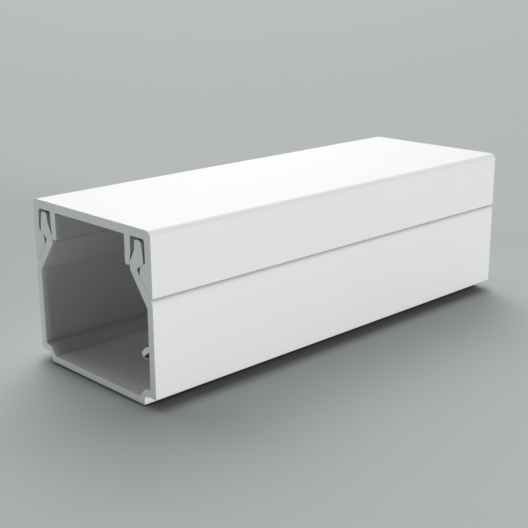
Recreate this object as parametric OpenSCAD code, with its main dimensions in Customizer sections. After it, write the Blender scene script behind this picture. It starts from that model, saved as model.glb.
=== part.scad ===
// Cable trunking: an extruded channel and a lid that clips over the ribs on its two walls.
// The length runs along X and the channel opens upward. The mounting face is at z = 0, and the
// origin is at the middle of that face. Both sections are drawn for one side and mirrored.

/* [Trunking] */
// Length of the cut piece
length = 111.4; // [40:0.1:2000]
// Width over the walls
width = 40; // [34:1:80]
// Height from the mounting face to the top of the lid
height = 35.8; // [33:0.1:80]

/* [Base] */
// Thickness of the floor
floor_thick = 1.5; // [1.2:0.05:1.9]
// Thickness of the walls
wall_thick = 1.67; // [1.3:0.01:2]
// How far the floor's edge is set in from the outer face of the wall
foot_inset = 3.65; // [3.2:0.05:4.2]
// How far the wall's lower edge stays above the mounting face
foot_rise = 2.12; // [1.7:0.02:2.4]
// Thickness of the step that joins the wall to the floor
step_thick = 1.43; // [1.2:0.01:1.7]
// Drop from the top of the lid to the middle of the base's round shoulder below the seam
shoulder_drop = 14.2; // [14.16:0.01:14.5]

/* [Lid] */
// Thickness of the lid's plate
plate_thick = 1.88; // [1.4:0.02:2]
// Thickness of the lid's outer legs
outer_leg_thick = 1.92; // [1.4:0.02:2.1]
// Drop from the top of the lid to the lower edge of its outer legs
outer_leg_drop = 13.08; // [12.9:0.01:13.2]
// Thickness of the lid's inner legs
inner_leg_thick = 1.82; // [1.2:0.02:2.6]
// Drop from the top of the lid to the lower edge of its inner legs
inner_leg_drop = 7.83; // [7.5:0.01:8.5]
// Radius of the lid's long upper edges
edge_radius = 1.4; // [0.4:0.1:1.8]

/* [Clip] */
// Drop from the top of the lid to the crown of the clip rib
rib_drop = 2.36; // [2.1:0.02:2.7]
// Width of the clip rib at its crown
rib_crown = 1.92; // [1.6:0.02:2.2]
// Clearance between the lid and the base where they touch
fit_gap = 0.05; // [0.03:0.01:0.08]

/* [Fin] */
// Height of the top of the fin's root above the mounting face
fin_top = 12.85; // [9:0.05:14]
// Reach of the fin from the inner face of the wall
fin_reach = 2.4; // [2:0.1:4]
// Depth of the fin from its root's top to the underside of its web
fin_depth = 2.9; // [2.6:0.1:4]
// Thickness of the thin web that closes the hollow under the fin
fin_web = 0.12; // [0.1:0.01:0.25]

/* [Hidden] */

half_width = width / 2;
wall_face = half_width - wall_thick;
slot_face = half_width - outer_leg_thick;
foot_edge = half_width - foot_inset;

// Radii of a keen inner corner, an edge left nearly sharp, a small fillet, a full round, a nose
// and a slow bend
keen = 0.05;
crisp = 0.15;
soft = 0.4;
full = 0.7;
nose = 1;
bend = 2;
// Largest turn in degrees between two facets of a round
arc_step = 12;

// The base outside the clip: the seam, the flank up to the neck, and the tip of the hook
seam = under_lid(0.66, 13.55);
flank_top = under_lid(3.8, 9.35);
neck = under_lid(4.5, 8.08);
hook_tip = under_lid(2.38, 6.72);
// The clip rib: the bow of its outer side, its crown, the bend of its inner side and its root
rib_bow = under_lid(2.52, 5.2);
crown_inset = 5;
crown_outside = under_lid(crown_inset - rib_crown, rib_drop);
crown_inside = under_lid(crown_inset, rib_drop);
rib_bend = under_lid(5.12, 4.4);
root_inset = 6.6;
root_top = under_lid(root_inset, 6.98);
root_low = under_lid(root_inset, 8.74);
// The slanted web runs out into the wall's inner face
web_end = [wall_face, height - 15.4];
// The step over the foot falls a little from the wall to its edge, then drops to the floor
step_fall = 0.42;
step_wall = [wall_face, foot_rise + step_thick + step_fall / 2];
step_edge = [foot_edge, foot_rise + step_thick - step_fall / 2];
step_floor = [foot_edge - step_thick, floor_thick];

// The lid's flank and barb keep the clearance from the base's flank and from its hook
flank_gap = fit_gap * right_of(seam, flank_top);
hook_gap = fit_gap * right_of(neck, hook_tip);
hook_slope = (hook_tip.y - neck.y) / (hook_tip.x - neck.x);
slot_foot = [slot_face, neck.y + hook_gap.y + hook_slope * (slot_face - neck.x - hook_gap.x)];
// Share of the hook's underside that the lid's barb leaves free
barb_share = 0.45;
barb_nose = neck + barb_share * (hook_tip - neck) + hook_gap;
// The lid's inner leg bends in to stand beside the rib's root
leg_inset = 6.33;
leg_back = leg_inset + inner_leg_thick;
leg_bend = under_lid(6.4, 5.4);
leg_beside = root_inset + fit_gap;
leg_beside_drop = 6.9;

// A point given by its distance in from the outer face and down from the top of the lid
function under_lid(inset, drop) = [half_width - inset, height - drop];
// A point given as shares of the fin's reach from the wall and of its depth from its top
function on_fin(reach, depth) = [wall_face - reach * fin_reach, fin_top - depth * fin_depth];
function unit(v) = v / norm(v);
// The direction square to the line from p to q, on its right-hand side
function right_of(p, q) = let (d = unit(q - p)) [d.y, -d.x];
// A corner of an outline: a point and the radius that rounds it
function corner(p, r = 0) = [p.x, p.y, r];
function place(c) = [c.x, c.y];
function turned(v, t) = [v.x * cos(t) - v.y * sin(t), v.x * sin(t) + v.y * cos(t)];
// The points of one rounded corner, between the points before and after it
function arc_points(before, at, after, r) =
    let (
        a = unit(before - at),
        b = unit(after - at),
        angle = acos(a * b),
        middle = at + unit(a + b) * r / sin(angle / 2),
        start = at + a * r / tan(angle / 2) - middle,
        turn = (180 - angle) * (cross(a, b) > 0 ? -1 : 1),
        steps = ceil(abs(turn) / arc_step)
    )
    [for (i = [0:steps]) middle + turned(start, turn * i / steps)];
// An outline with each of its corners rounded
function rounded(corners) =
    let (n = len(corners))
    [
        for (i = [0:n - 1])
            let (
                before = place(corners[(i + n - 1) % n]),
                at = place(corners[i]),
                after = place(corners[(i + 1) % n]),
                r = corners[i].z
            )
            each r > 0 ? arc_points(before, at, after, r) : [at]
    ];
// The corners of the other side, in the order that closes the outline
function mirrored(corners) = [
    for (i = [len(corners) - 1:-1:0])
        [-corners[i].x, corners[i].y, corners[i].z]
];

// Up the outside from the floor's edge, over the clip rib, and down to the wall's inner face
wall_side = [
    corner([foot_edge, 0], crisp),
    corner([foot_edge, foot_rise], full),
    corner([half_width, foot_rise], crisp),
    corner(under_lid(0, shoulder_drop), bend),
    corner(seam),
    corner(flank_top, crisp),
    corner(neck, soft),
    corner(hook_tip, crisp),
    corner(rib_bow, bend),
    corner(crown_outside, full),
    corner(crown_inside, full),
    corner(rib_bend, bend),
    corner(root_top, soft),
    corner(root_low, soft),
    corner(web_end, soft)
];
// Down from the wall's inner face over the step to the floor
foot_side = [
    corner(step_wall, soft),
    corner(step_edge, soft),
    corner(step_floor, soft)
];

// Down the outer leg from the lid's top edge, round the barb, and back along the inner leg
lid_side = [
    corner([half_width, height], edge_radius),
    corner(under_lid(0, outer_leg_drop), crisp),
    corner(seam + flank_gap),
    corner(flank_top + flank_gap, crisp),
    corner(barb_nose, nose),
    corner(slot_foot, crisp),
    corner([slot_face, height - plate_thick], full),
    corner(under_lid(leg_inset, plate_thick), crisp),
    corner(leg_bend, bend),
    corner(under_lid(leg_beside, leg_beside_drop), nose),
    corner(under_lid(leg_beside, inner_leg_drop), soft),
    corner(under_lid(leg_back, inner_leg_drop), soft),
    corner(under_lid(leg_back, plate_thick), soft)
];

// From the wall over the fin's curved back to its tip, and back along its thin web
fin_side = [
    corner(on_fin(0, 0.03), crisp),
    corner(on_fin(0.6, 0.27), bend),
    corner(on_fin(1, 0.65), crisp),
    corner(on_fin(0.77, 0.93), crisp),
    corner(on_fin(0, 1), crisp)
];
fin_hollow = [
    corner(on_fin(0, 0.41), keen),
    corner(on_fin(0.73, 0.93) + [0, fin_web], keen),
    corner(on_fin(0, 1) + [0, fin_web], keen)
];

base_outline = concat(wall_side, foot_side, mirrored(concat(wall_side, fin_side, foot_side)));
lid_outline = concat(lid_side, mirrored(lid_side));

module along_length() {
    translate([-length / 2, 0, 0])
        rotate([90, 0, 90])
            linear_extrude(length)
                children();
}

module base() {
    color("whitesmoke")
        along_length()
            difference() {
                polygon(rounded(base_outline));
                polygon(rounded(mirrored(fin_hollow)));
            }
}

module lid() {
    color("white")
        along_length()
            polygon(rounded(lid_outline));
}

base();
lid();
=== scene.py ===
"""Looks of the cable trunking: white rigid PVC on a plain grey floor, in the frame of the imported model."""

import math

import bpy
from mathutils import Matrix, Vector

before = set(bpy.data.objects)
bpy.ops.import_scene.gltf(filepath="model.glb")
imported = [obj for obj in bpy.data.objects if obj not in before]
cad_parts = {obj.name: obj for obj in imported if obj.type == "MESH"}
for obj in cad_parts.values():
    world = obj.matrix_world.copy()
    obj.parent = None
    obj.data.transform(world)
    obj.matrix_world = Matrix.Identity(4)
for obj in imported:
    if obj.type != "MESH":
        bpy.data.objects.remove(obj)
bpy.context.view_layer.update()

MM = 0.001
WHITE = (1.0, 1.0, 1.0)

# Camera: the point that it looks at and its distance in metres, and its angles in degrees
LOOK_AT = Vector((-0.00459, 0.00292, 0.01421))
DISTANCE = 0.24456
AZIMUTH = -43.935
ELEVATION = 16.393
ROLL = -0.286
LENS_MM = 70.07
SENSOR_MM = 36.0
# The nearest and the farthest that the camera sees, in metres
CLIP_NEAR = 0.01
CLIP_FAR = 50.0

# Lamps, far and soft: azimuth and elevation in degrees as for the camera, strength, and width in degrees.
# The low back lamp gives the lid its sheen. The side and front fills show in no gloss, and the front fill
# is a little cool.
LAMPS = {
    "key": {"azimuth": 157, "elevation": 50, "strength": 1.3, "width": 50},
    "top": {"azimuth": 180, "elevation": 68, "strength": 0.6, "width": 50},
    "back": {"azimuth": 136, "elevation": 30, "strength": 0.89, "width": 40},
    "end_fill": {"azimuth": 98, "elevation": 36, "strength": 0.38, "width": 40},
    "side_fill": {"azimuth": 5, "elevation": 6, "strength": 2.6, "width": 16, "gloss": False},
    "front_fill": {
        "azimuth": -100,
        "elevation": 8,
        "strength": 0.74,
        "width": 16,
        "gloss": False,
        "colour": (0.94, 1.0, 0.99),
    },
}
# The room: the light that it adds, and the colour that the camera and gloss see past the floor
AMBIENT_STRENGTH = 0.02
BACKDROP_COLOUR = (0.474, 0.503, 0.491)

# Floor: half of its side in metres, its colours in front of the part and far behind it, and its gloss
FLOOR_HALF = 8.0
FLOOR_NEAR = (0.494, 0.523, 0.511)
FLOOR_FAR = (0.472, 0.500, 0.489)
FLOOR_ROUGHNESS = 0.8
FLOOR_SPECULAR = 0.15
# Painted light: the floor's colour turns from its near to its far one along the view, between these places
# in metres
FADE_START = -0.15
FADE_END = 0.60
# The floor lies this far under the part; within this reach of it, painted shadow darkens it down to this
# share
FLOOR_DROP = 0.3 * MM
CONTACT_REACH = 4.0 * MM
PAINTED_CONTACT_SHADOW = 0.0

# Plastic: the two tones that its white drifts between, its refraction, and the least and most roughness
# of its extruded skin and of its cut ends
PVC_WHITE = (0.783, 0.784, 0.784)
PVC_SHADE = (0.766, 0.767, 0.765)
PVC_IOR = 1.53
SKIN_ROUGHNESS = (0.40, 0.48)
CUT_ROUGHNESS = (0.48, 0.58)
# Painted shade: in gaps and grooves, where other faces stand within this reach, the white is painted darker,
# down to this share
CREVICE_REACH = 0.9 * MM
PAINTED_CREVICE_SHADE = 0.1
# Patterns, in repeats per metre along X, Y and Z or all round
DIE_LINES = (7, 1300, 1300)
GRAIN = 2400
TINT = 26
SAW_LINES = 420
SAW_TILT = math.radians(24)
# How finely the die lines and the other patterns break up, and how far the saw's lines waver
DIE_DETAIL = 3.0
PATTERN_DETAIL = 2.0
SAW_WAVER = 1.5
# Heights of the relief left by the die and by the saw, and the grain's height as a share of the die lines'
DIE_DEPTH = 0.003 * MM
SAW_DEPTH = 0.004 * MM
GRAIN_SHARE = 0.3
# A face whose normal lies this far along X begins to count as a cut end, and then counts in full
CUT_START = 0.75
CUT_FULL = 0.95
# Each extrusion has its own place in the patterns, in metres
PATTERN_OFFSETS = {"base": (0.0, 0.0, 0.0), "lid": (0.31, 0.17, 0.23)}

# Edges of the cut ends, lightly broken, where the faces turn by more than this
EDGE_WIDTH = 0.02 * MM
EDGE_SEGMENTS = 2
EDGE_ANGLE = math.radians(80)
# Faces that turn by less than this are one flat face, and points closer than this are one point
FLAT_ANGLE = math.radians(0.5)
WELD_DISTANCE = 0.001 * MM


def direction(azimuth, elevation):
    """Unit vector from the part towards a place at these angles in degrees."""
    a = math.radians(azimuth)
    e = math.radians(elevation)
    return Vector((math.sin(a) * math.cos(e), -math.cos(a) * math.cos(e), math.sin(e)))


def facing(vector):
    """Rotation of a camera or lamp that looks against this vector."""
    return (-vector).to_track_quat("-Z", "Y")


def add_object(name, data):
    obj = bpy.data.objects.new(name, data)
    bpy.context.scene.collection.objects.link(obj)
    return obj


class Nodes:
    """Adds nodes to a tree and wires them: an input given a socket is linked, any other value is set."""

    def __init__(self, tree):
        self.tree = tree

    def add(self, kind, settings=None, **inputs):
        node = self.tree.nodes.new("ShaderNode" + kind)
        for name, value in (settings or {}).items():
            setattr(node, name, value)
        for name, value in inputs.items():
            self.wire(value, node.inputs[name.replace("_", " ")])
        return node

    def wire(self, value, socket):
        if isinstance(value, bpy.types.NodeSocket):
            self.tree.links.new(value, socket)
        else:
            socket.default_value = value

    def math(self, operation, first, second=0.0):
        node = self.add("Math", {"operation": operation})
        self.wire(first, node.inputs[0])
        self.wire(second, node.inputs[1])
        return node.outputs["Value"]

    def between(self, value, low, high):
        """A value from 0 to 1 turned into one from low to high, which may be sockets."""
        return self.add("MapRange", Value=value, To_Min=low, To_Max=high).outputs["Result"]

    def ramp(self, value, first, last):
        """A colour that goes from the first to the last as the value goes from 0 to 1."""
        node = self.add("ValToRGB", Fac=value)
        node.color_ramp.interpolation = "EASE"
        node.color_ramp.elements[0].color = (*first, 1)
        node.color_ramp.elements[1].color = (*last, 1)
        return node.outputs["Color"]

    def with_painted_shade(self, colour, reach, darkest):
        """The colour with painted shade: darkened where other faces stand within this reach, down to this
        share of it.
        """
        openness = self.add("AmbientOcclusion", Distance=reach).outputs["AO"]
        share = self.between(openness, darkest, 1.0)
        return self.add("VectorMath", {"operation": "SCALE"}, Vector=colour, Scale=share).outputs["Vector"]


def new_material(name):
    """A material, a builder for its nodes, and its Principled shader."""
    material = bpy.data.materials.new(name)
    material.use_nodes = True
    tree = material.node_tree
    return material, Nodes(tree), tree.nodes["Principled BSDF"]


def make_camera():
    data = bpy.data.cameras.new("camera")
    data.lens = LENS_MM
    data.sensor_width = SENSOR_MM
    data.clip_start = CLIP_NEAR
    data.clip_end = CLIP_FAR
    camera = add_object("camera", data)
    towards = direction(AZIMUTH, ELEVATION)
    roll = Matrix.Rotation(math.radians(ROLL), 3, "Z")
    camera.location = LOOK_AT + towards * DISTANCE
    camera.rotation_mode = "QUATERNION"
    camera.rotation_quaternion = (facing(towards).to_matrix() @ roll).to_quaternion()
    bpy.context.scene.camera = camera


def make_lamp(name, azimuth, elevation, strength, width, gloss=True, colour=WHITE):
    data = bpy.data.lights.new(name, "SUN")
    data.energy = strength
    data.color = colour
    data.angle = math.radians(width)
    lamp = add_object(name, data)
    lamp.visible_glossy = gloss
    lamp.rotation_mode = "QUATERNION"
    lamp.rotation_quaternion = facing(direction(azimuth, elevation))


def make_room():
    """A dim even light, in whose place the camera and gloss see the pale backdrop."""
    world = bpy.data.worlds.new("room")
    world.use_nodes = True
    nodes = Nodes(world.node_tree)
    world.node_tree.nodes.clear()
    ambient = nodes.add("Background", Color=(*WHITE, 1), Strength=AMBIENT_STRENGTH)
    backdrop = nodes.add("Background", Color=(*BACKDROP_COLOUR, 1))
    rays = nodes.add("LightPath").outputs
    mirrored = nodes.math("MAXIMUM", rays["Is Glossy Ray"], rays["Is Transmission Ray"])
    seen = nodes.math("MAXIMUM", rays["Is Camera Ray"], mirrored)
    mix = nodes.add("MixShader", Fac=seen)
    nodes.wire(ambient.outputs["Background"], mix.inputs[1])
    nodes.wire(backdrop.outputs["Background"], mix.inputs[2])
    nodes.add("OutputWorld", Surface=mix.outputs["Shader"])
    bpy.context.scene.world = world


def floor_material():
    """Grey paper with painted light that turns it slowly from its near to its far colour, and a painted
    shadow beside the part.
    """
    material, nodes, shader = new_material("floor_paper")
    along = nodes.add("VectorMath", {"operation": "DOT_PRODUCT"})
    nodes.wire(nodes.add("TexCoord").outputs["Object"], along.inputs[0])
    nodes.wire(-direction(AZIMUTH, 0), along.inputs[1])
    fade = nodes.add("MapRange", Value=along.outputs["Value"], From_Min=FADE_START, From_Max=FADE_END)
    # Painted light: the grey is lighter in front of the part than far behind it
    grey = nodes.ramp(fade.outputs["Result"], FLOOR_NEAR, FLOOR_FAR)
    # Painted shadow: the floor is darker beside the part
    nodes.wire(nodes.with_painted_shade(grey, CONTACT_REACH, PAINTED_CONTACT_SHADOW), shader.inputs["Base Color"])
    nodes.wire(FLOOR_ROUGHNESS, shader.inputs["Roughness"])
    nodes.wire(FLOOR_SPECULAR, shader.inputs["Specular IOR Level"])
    return material


def make_floor():
    mesh = bpy.data.meshes.new("floor")
    half = FLOOR_HALF
    level = -FLOOR_DROP
    corners = [(-half, -half, level), (half, -half, level), (half, half, level), (-half, half, level)]
    mesh.from_pydata(corners, [], [(0, 1, 2, 3)])
    mesh.materials.append(floor_material())
    add_object("floor", mesh)


def pvc_material(name, offset):
    """Extruded white PVC: die lines and a fine grain along the skin, saw marks across the cut ends."""
    material, nodes, shader = new_material(name)
    coordinates = nodes.add("TexCoord").outputs
    place = nodes.add("Mapping", Vector=coordinates["Object"], Location=offset).outputs["Vector"]

    stretched = nodes.add("Mapping", Vector=place, Scale=DIE_LINES).outputs["Vector"]
    lines = nodes.add("TexNoise", Vector=stretched, Scale=1.0, Detail=DIE_DETAIL).outputs["Fac"]
    grain = nodes.add("TexNoise", Vector=place, Scale=GRAIN, Detail=PATTERN_DETAIL).outputs["Fac"]
    tint = nodes.add("TexNoise", Vector=place, Scale=TINT, Detail=PATTERN_DETAIL).outputs["Fac"]
    turned = nodes.add("Mapping", Vector=place, Rotation=(SAW_TILT, 0, 0)).outputs["Vector"]
    saw = nodes.add(
        "TexWave",
        {"wave_type": "BANDS", "bands_direction": "Z"},
        Vector=turned,
        Scale=SAW_LINES,
        Distortion=SAW_WAVER,
        Detail=PATTERN_DETAIL,
    ).outputs["Fac"]

    along = nodes.add("SeparateXYZ", Vector=coordinates["Normal"]).outputs["X"]
    cut = nodes.add(
        "MapRange",
        Value=nodes.math("ABSOLUTE", along),
        From_Min=CUT_START,
        From_Max=CUT_FULL,
    ).outputs["Result"]

    # The relief's heights are in metres, so the bump's own distance is 1
    rough_lines = nodes.math("ADD", lines, nodes.math("MULTIPLY", grain, GRAIN_SHARE))
    skin_height = nodes.math("MULTIPLY", rough_lines, DIE_DEPTH)
    cut_height = nodes.math("MULTIPLY", saw, SAW_DEPTH)
    bump = nodes.add("Bump", Height=nodes.between(cut, skin_height, cut_height), Distance=1.0)
    skin_roughness = nodes.between(lines, *SKIN_ROUGHNESS)
    cut_roughness = nodes.between(saw, *CUT_ROUGHNESS)

    white = nodes.ramp(tint, PVC_WHITE, PVC_SHADE)
    # The white gets painted shade in gaps and grooves
    nodes.wire(nodes.with_painted_shade(white, CREVICE_REACH, PAINTED_CREVICE_SHADE), shader.inputs["Base Color"])
    nodes.wire(nodes.between(cut, skin_roughness, cut_roughness), shader.inputs["Roughness"])
    nodes.wire(bump.outputs["Normal"], shader.inputs["Normal"])
    nodes.wire(PVC_IOR, shader.inputs["IOR"])
    return material


def break_edges(obj):
    """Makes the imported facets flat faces, breaks the edges of the cut ends and evens the shading."""
    weld = obj.modifiers.new("weld", "WELD")
    weld.merge_threshold = WELD_DISTANCE
    flat = obj.modifiers.new("flat", "DECIMATE")
    flat.decimate_type = "DISSOLVE"
    flat.angle_limit = FLAT_ANGLE
    bevel = obj.modifiers.new("bevel", "BEVEL")
    bevel.width = EDGE_WIDTH
    bevel.segments = EDGE_SEGMENTS
    bevel.limit_method = "ANGLE"
    bevel.angle_limit = EDGE_ANGLE
    bevel.use_clamp_overlap = False
    bevel.loop_slide = False
    bevel.face_strength_mode = "FSTR_AFFECTED"
    normals = obj.modifiers.new("normals", "WEIGHTED_NORMAL")
    normals.mode = "FACE_AREA"
    normals.use_face_influence = True


def dress(node_name, offset):
    """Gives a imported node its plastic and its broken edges."""
    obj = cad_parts[node_name]
    obj.data.materials.clear()
    obj.data.materials.append(pvc_material(node_name + "_plastic", offset))
    break_edges(obj)


make_camera()
for lamp_name, lamp in LAMPS.items():
    make_lamp(lamp_name, **lamp)
make_room()
make_floor()
for node_name, offset in PATTERN_OFFSETS.items():
    dress(node_name, offset)

bpy.context.scene.view_settings.view_transform = "Standard"
